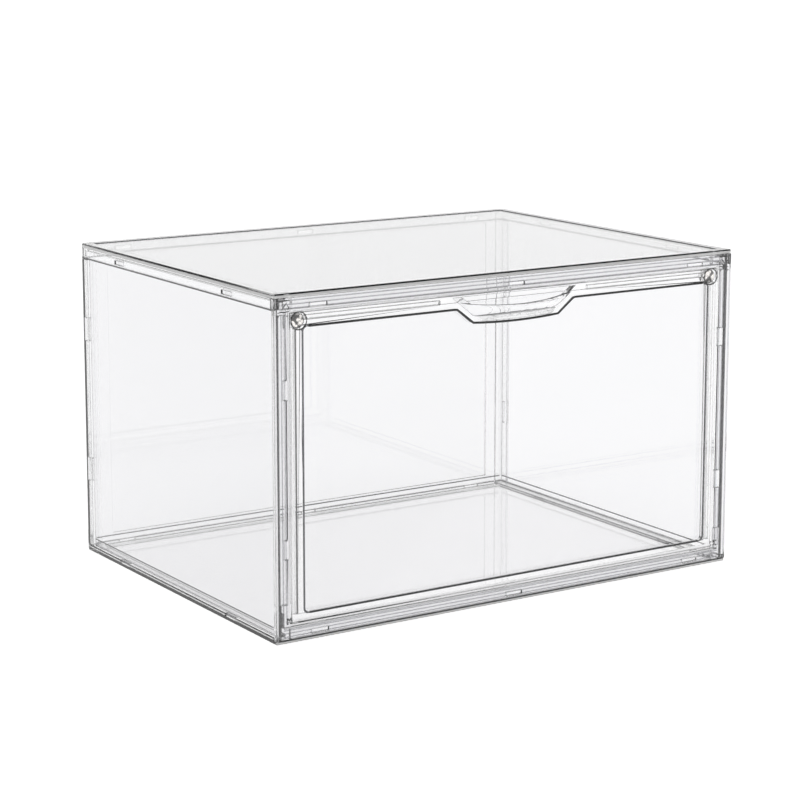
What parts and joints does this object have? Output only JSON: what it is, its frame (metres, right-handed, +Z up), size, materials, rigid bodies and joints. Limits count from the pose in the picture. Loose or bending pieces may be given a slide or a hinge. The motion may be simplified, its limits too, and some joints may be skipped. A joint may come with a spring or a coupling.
{
  "type": "shoe box",
  "caption": "Clear flat-pack display shoe box of clipped panels, with a framed see-through door that swings down on two stubs and shuts on magnets.",
  "frame": {"origin": "on the ground under the middle of the closed box with its pull", "axes": "+X to the viewer's right, +Y from the door to the back, +Z up"},
  "size_m": [0.36, 0.2761, 0.22],
  "materials": {
    "clear_panel": "clear polystyrene, moulded smooth",
    "clear_frame": "clear polystyrene, moulded smooth",
    "clear_door": "clear polystyrene, moulded smooth",
    "nickel": "nickel plated disc magnets"
  },
  "bodies": {
    "case": {"top_panel": "clear_panel", "bottom_panel": "clear_panel", "left_panel": "clear_panel", "right_panel": "clear_panel", "back_panel": "clear_panel", "front_frame": "clear_frame", "frame_magnet_left": "nickel", "frame_magnet_right": "nickel"},
    "door": {"door": "clear_door", "door_magnet_left": "nickel", "door_magnet_right": "nickel"}
  },
  "joints": [
    {"name": "door_hinge", "type": "hinge", "parent": "case", "child": "door", "pos_m": [0, -0.12905, 0.0141], "axis": [1, 0, 0], "range_deg": [0, 90]}
  ]
}
